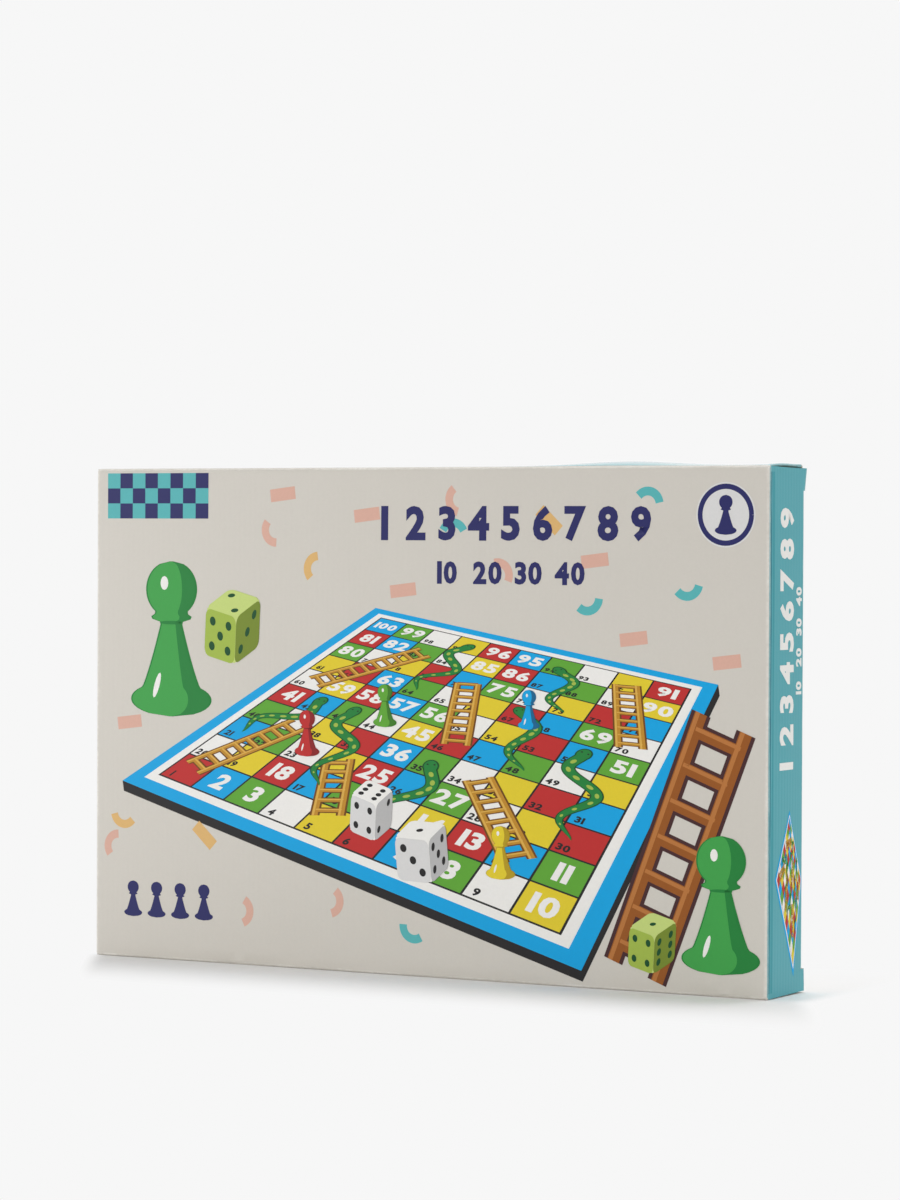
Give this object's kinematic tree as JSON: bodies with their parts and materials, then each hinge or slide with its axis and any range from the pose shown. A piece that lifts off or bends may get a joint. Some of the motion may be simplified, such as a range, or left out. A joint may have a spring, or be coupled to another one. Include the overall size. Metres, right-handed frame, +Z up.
{
  "type": "boxed snakes and ladders game",
  "caption": "Corrugated tuck-end game carton standing on its long edge, holding a folding snakes and ladders board, pawns and dice in a card insert.",
  "frame": {"origin": "centre of the footprint, on the surface the carton stands on", "axes": "+Z up, the printed front faces -Y, the end panel seen in the picture is at +X"},
  "size_m": [0.396, 0.043, 0.26],
  "materials": {
    "printed_liner": "matte printed white-top liner on fine-flute corrugated board",
    "teal_liner": "matte teal print on fine-flute corrugated board",
    "kraft_liner": "bare brown kraft liner",
    "insert_card": "bare folding card",
    "board_wrap": "greyboard wrapped in printed paper",
    "hinge_paper": "printed paper hinge strip",
    "white_paper": "uncoated white paper",
    "red_plastic": "moulded gloss plastic",
    "blue_plastic": "moulded gloss plastic",
    "green_plastic": "moulded gloss plastic",
    "yellow_plastic": "moulded gloss plastic",
    "white_plastic": "moulded gloss plastic with painted pips"
  },
  "bodies": {
    "carton": {"front_panel": "printed_liner", "back_panel": "printed_liner", "top_panel": "teal_liner", "bottom_panel": "teal_liner", "glue_flap": "kraft_liner", "insert_deck": "insert_card", "insert_front_wall": "insert_card", "insert_back_wall": "insert_card", "insert_left_end": "insert_card", "insert_right_end": "insert_card"},
    "right_closure": {"right_closure": "teal_liner"},
    "right_tuck_flap": {"right_tuck_flap": "teal_liner"},
    "right_upper_dust_flap": {"right_upper_dust_flap": "kraft_liner"},
    "right_lower_dust_flap": {"right_lower_dust_flap": "kraft_liner"},
    "left_closure": {"left_closure": "teal_liner"},
    "left_tuck_flap": {"left_tuck_flap": "teal_liner"},
    "left_upper_dust_flap": {"left_upper_dust_flap": "kraft_liner"},
    "left_lower_dust_flap": {"left_lower_dust_flap": "kraft_liner"},
    "board": {"board_back_leaf": "board_wrap", "board_hinge_strip": "hinge_paper", "rules_sheet": "white_paper"},
    "board_front_leaf": {"board_front_leaf": "board_wrap"},
    "pawn_red": {"pawn_red": "red_plastic"},
    "pawn_blue": {"pawn_blue": "blue_plastic"},
    "pawn_green": {"pawn_green": "green_plastic"},
    "pawn_yellow": {"pawn_yellow": "yellow_plastic"},
    "die_one": {"die_one": "white_plastic"},
    "die_two": {"die_two": "white_plastic"}
  },
  "joints": [
    {"name": "right_closure_hinge", "type": "hinge", "parent": "carton", "child": "right_closure", "pos_m": [0.1972, -0.0207, 0.13], "axis": [0, 0, -1], "range_deg": [0, 175]},
    {"name": "right_tuck_crease", "type": "hinge", "parent": "right_closure", "child": "right_tuck_flap", "pos_m": [0.1972, 0.0178, 0.13], "axis": [0, 0, -1], "range_deg": [0, 27]},
    {"name": "right_upper_dust_crease", "type": "hinge", "parent": "carton", "child": "right_upper_dust_flap", "pos_m": [0.1953, 0, 0.2592], "axis": [0, -1, 0], "range_deg": [0, 90]},
    {"name": "right_lower_dust_crease", "type": "hinge", "parent": "carton", "child": "right_lower_dust_flap", "pos_m": [0.1953, 0, 0.0008], "axis": [0, 1, 0], "range_deg": [0, 90]},
    {"name": "left_closure_hinge", "type": "hinge", "parent": "carton", "child": "left_closure", "pos_m": [-0.1972, -0.0207, 0.13], "axis": [0, 0, 1], "range_deg": [0, 176]},
    {"name": "left_tuck_crease", "type": "hinge", "parent": "left_closure", "child": "left_tuck_flap", "pos_m": [-0.1972, 0.0178, 0.13], "axis": [0, 0, 1], "range_deg": [0, 27]},
    {"name": "left_upper_dust_crease", "type": "hinge", "parent": "carton", "child": "left_upper_dust_flap", "pos_m": [-0.1953, 0, 0.2592], "axis": [0, 1, 0], "range_deg": [0, 90]},
    {"name": "left_lower_dust_crease", "type": "hinge", "parent": "carton", "child": "left_lower_dust_flap", "pos_m": [-0.1953, 0, 0.0008], "axis": [0, -1, 0], "range_deg": [0, 90]},
    {"name": "board_slide", "type": "slide", "parent": "carton", "child": "board", "axis": [-1, 0, 0], "range_m": [0, 0.382]},
    {"name": "board_fold", "type": "hinge", "parent": "board", "child": "board_front_leaf", "pos_m": [0, 0.0158, 0.1781], "axis": [-1, 0, 0], "range_deg": [0, 12]},
    {"name": "pawn_red_lift", "type": "slide", "parent": "carton", "child": "pawn_red", "axis": [0, 0, 1], "range_m": [0, 0.034]},
    {"name": "pawn_blue_lift", "type": "slide", "parent": "carton", "child": "pawn_blue", "axis": [0, 0, 1], "range_m": [0, 0.034]},
    {"name": "pawn_green_lift", "type": "slide", "parent": "carton", "child": "pawn_green", "axis": [0, 0, 1], "range_m": [0, 0.034]},
    {"name": "pawn_yellow_lift", "type": "slide", "parent": "carton", "child": "pawn_yellow", "axis": [0, 0, 1], "range_m": [0, 0.034]},
    {"name": "die_one_lift", "type": "slide", "parent": "carton", "child": "die_one", "axis": [0, 0, 1], "range_m": [0, 0.034]},
    {"name": "die_two_lift", "type": "slide", "parent": "carton", "child": "die_two", "axis": [0, 0, 1], "range_m": [0, 0.034]}
  ],
  "couplings": [
    {"joint": "right_tuck_crease", "follows": "right_closure_hinge", "ratio": 0.15},
    {"joint": "right_upper_dust_crease", "follows": "right_closure_hinge", "ratio": 0.5},
    {"joint": "right_lower_dust_crease", "follows": "right_closure_hinge", "ratio": 0.5},
    {"joint": "left_closure_hinge", "follows": "board_slide", "rad_per_m": 7.9956},
    {"joint": "left_tuck_crease", "follows": "board_slide", "rad_per_m": 1.1993},
    {"joint": "left_upper_dust_crease", "follows": "board_slide", "rad_per_m": 3.9978},
    {"joint": "left_lower_dust_crease", "follows": "board_slide", "rad_per_m": 3.9978}
  ]
}
